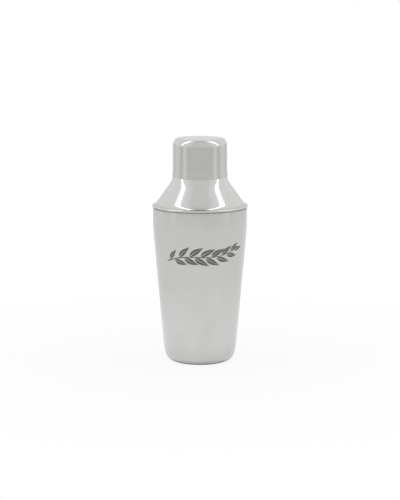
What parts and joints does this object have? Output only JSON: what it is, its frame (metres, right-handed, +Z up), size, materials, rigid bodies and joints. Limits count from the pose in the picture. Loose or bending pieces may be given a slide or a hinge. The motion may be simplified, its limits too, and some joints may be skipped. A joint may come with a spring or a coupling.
{
  "type": "cocktail shaker",
  "caption": "Small polished steel cocktail shaker: tapered cup, plug-in lid with sloping shoulder, neck and built-in strainer, and a pull-off cap over the neck.",
  "frame": {"origin": "centre of the foot ring's plane, on the axis that all pieces are turned about", "axes": "+Z up along the axis, from the base to the cap; the shaker is the same all the way round"},
  "size_m": [0.0746, 0.0746, 0.175],
  "materials": {
    "cup_steel": "polished stainless steel sheet with a faint satin haze",
    "lid_steel": "mirror-polished stainless steel sheet",
    "strainer_steel": "pressed and punched stainless steel sheet, left dull",
    "cap_steel": "mirror-polished stainless steel sheet"
  },
  "bodies": {
    "cup": {"cup": "cup_steel"},
    "lid": {"shoulder": "lid_steel", "strainer": "strainer_steel"},
    "cap": {"cap": "cap_steel"}
  },
  "joints": [
    {"name": "lid_lift", "type": "slide", "parent": "cup", "child": "lid", "axis": [0, 0, 1], "range_m": [0, 0.06]},
    {"name": "cap_lift", "type": "slide", "parent": "lid", "child": "cap", "axis": [0, 0, 1], "range_m": [0, 0.045]}
  ]
}
